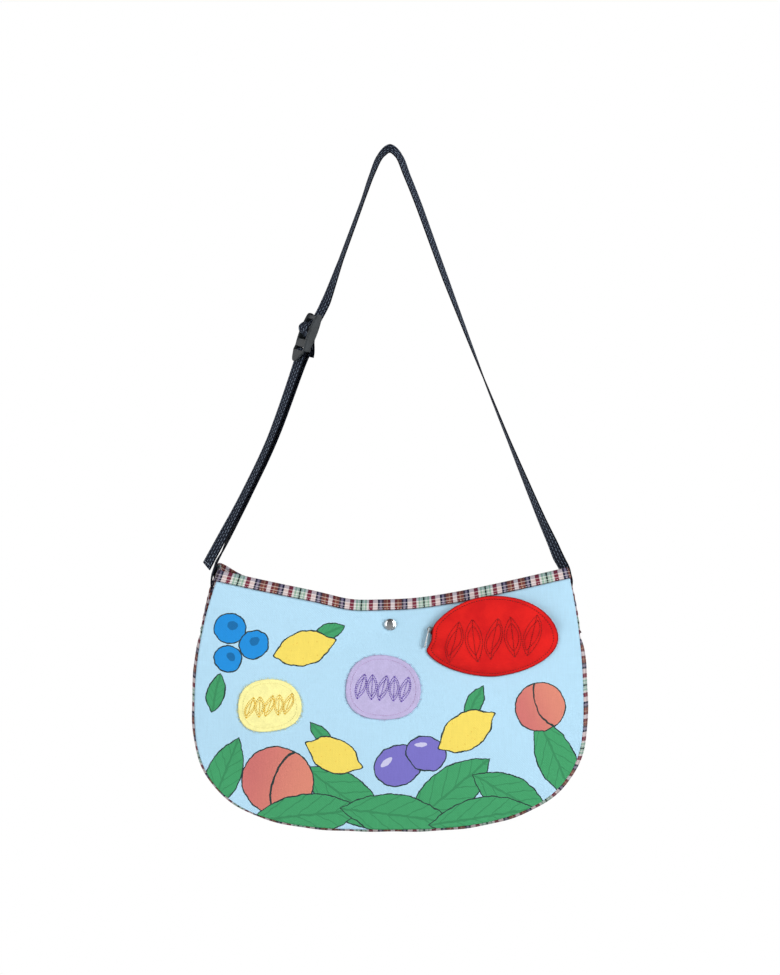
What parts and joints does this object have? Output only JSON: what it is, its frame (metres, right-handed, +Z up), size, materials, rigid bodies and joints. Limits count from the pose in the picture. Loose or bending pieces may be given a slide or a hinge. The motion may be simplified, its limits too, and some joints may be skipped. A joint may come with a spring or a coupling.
{
  "type": "shoulder bag",
  "caption": "Soft canvas shoulder bag with rounded base, plaid gusset and mouth binding, press stud, sewn patches, small zip pouch and buckled webbing strap.",
  "frame": {"origin": "under the middle of the strap's highest point, where a hook or shoulder carries it", "axes": "+Z up, +X to the right seen from the printed front, -Y out of the printed front"},
  "size_m": [0.399, 0.0666, 0.6912],
  "materials": {
    "print_canvas": "plain-weave cotton canvas with a printed picture",
    "plain_canvas": "plain-weave cotton canvas",
    "plaid_cotton": "yarn-dyed plaid cotton",
    "navy_webbing": "ribbed webbing with pale stitch rows",
    "buckle_plastic": "moulded, fine grain",
    "nickel": "nickel plated",
    "red_canvas": "plain-weave cotton canvas, top-stitched",
    "zip_red": "woven zip tape with moulded teeth",
    "lilac_felt": "brushed cloth, raw edge",
    "cream_felt": "brushed cloth, raw edge"
  },
  "bodies": {
    "bag": {"front_panel": "print_canvas", "back_panel": "plain_canvas", "gusset": "plaid_cotton", "mouth_binding": "plaid_cotton", "strap_long": "navy_webbing", "strap_short": "navy_webbing", "buckle": "buckle_plastic", "snap_cap": "nickel", "snap_stud": "nickel", "snap_rear_cap": "nickel", "patch_oval": "cream_felt", "patch_round": "lilac_felt", "pouch_front": "red_canvas", "pouch_zip": "zip_red", "zip_slider": "nickel"},
    "zip_pull": {"zip_pull": "nickel"}
  },
  "joints": [
    {"name": "zip_pull_swing", "type": "hinge", "parent": "bag", "child": "zip_pull", "pos_m": [0.03916, -0.01558, -0.4825], "axis": [0.0886, 0.9691, -0.23], "range_deg": [0, 150]}
  ]
}
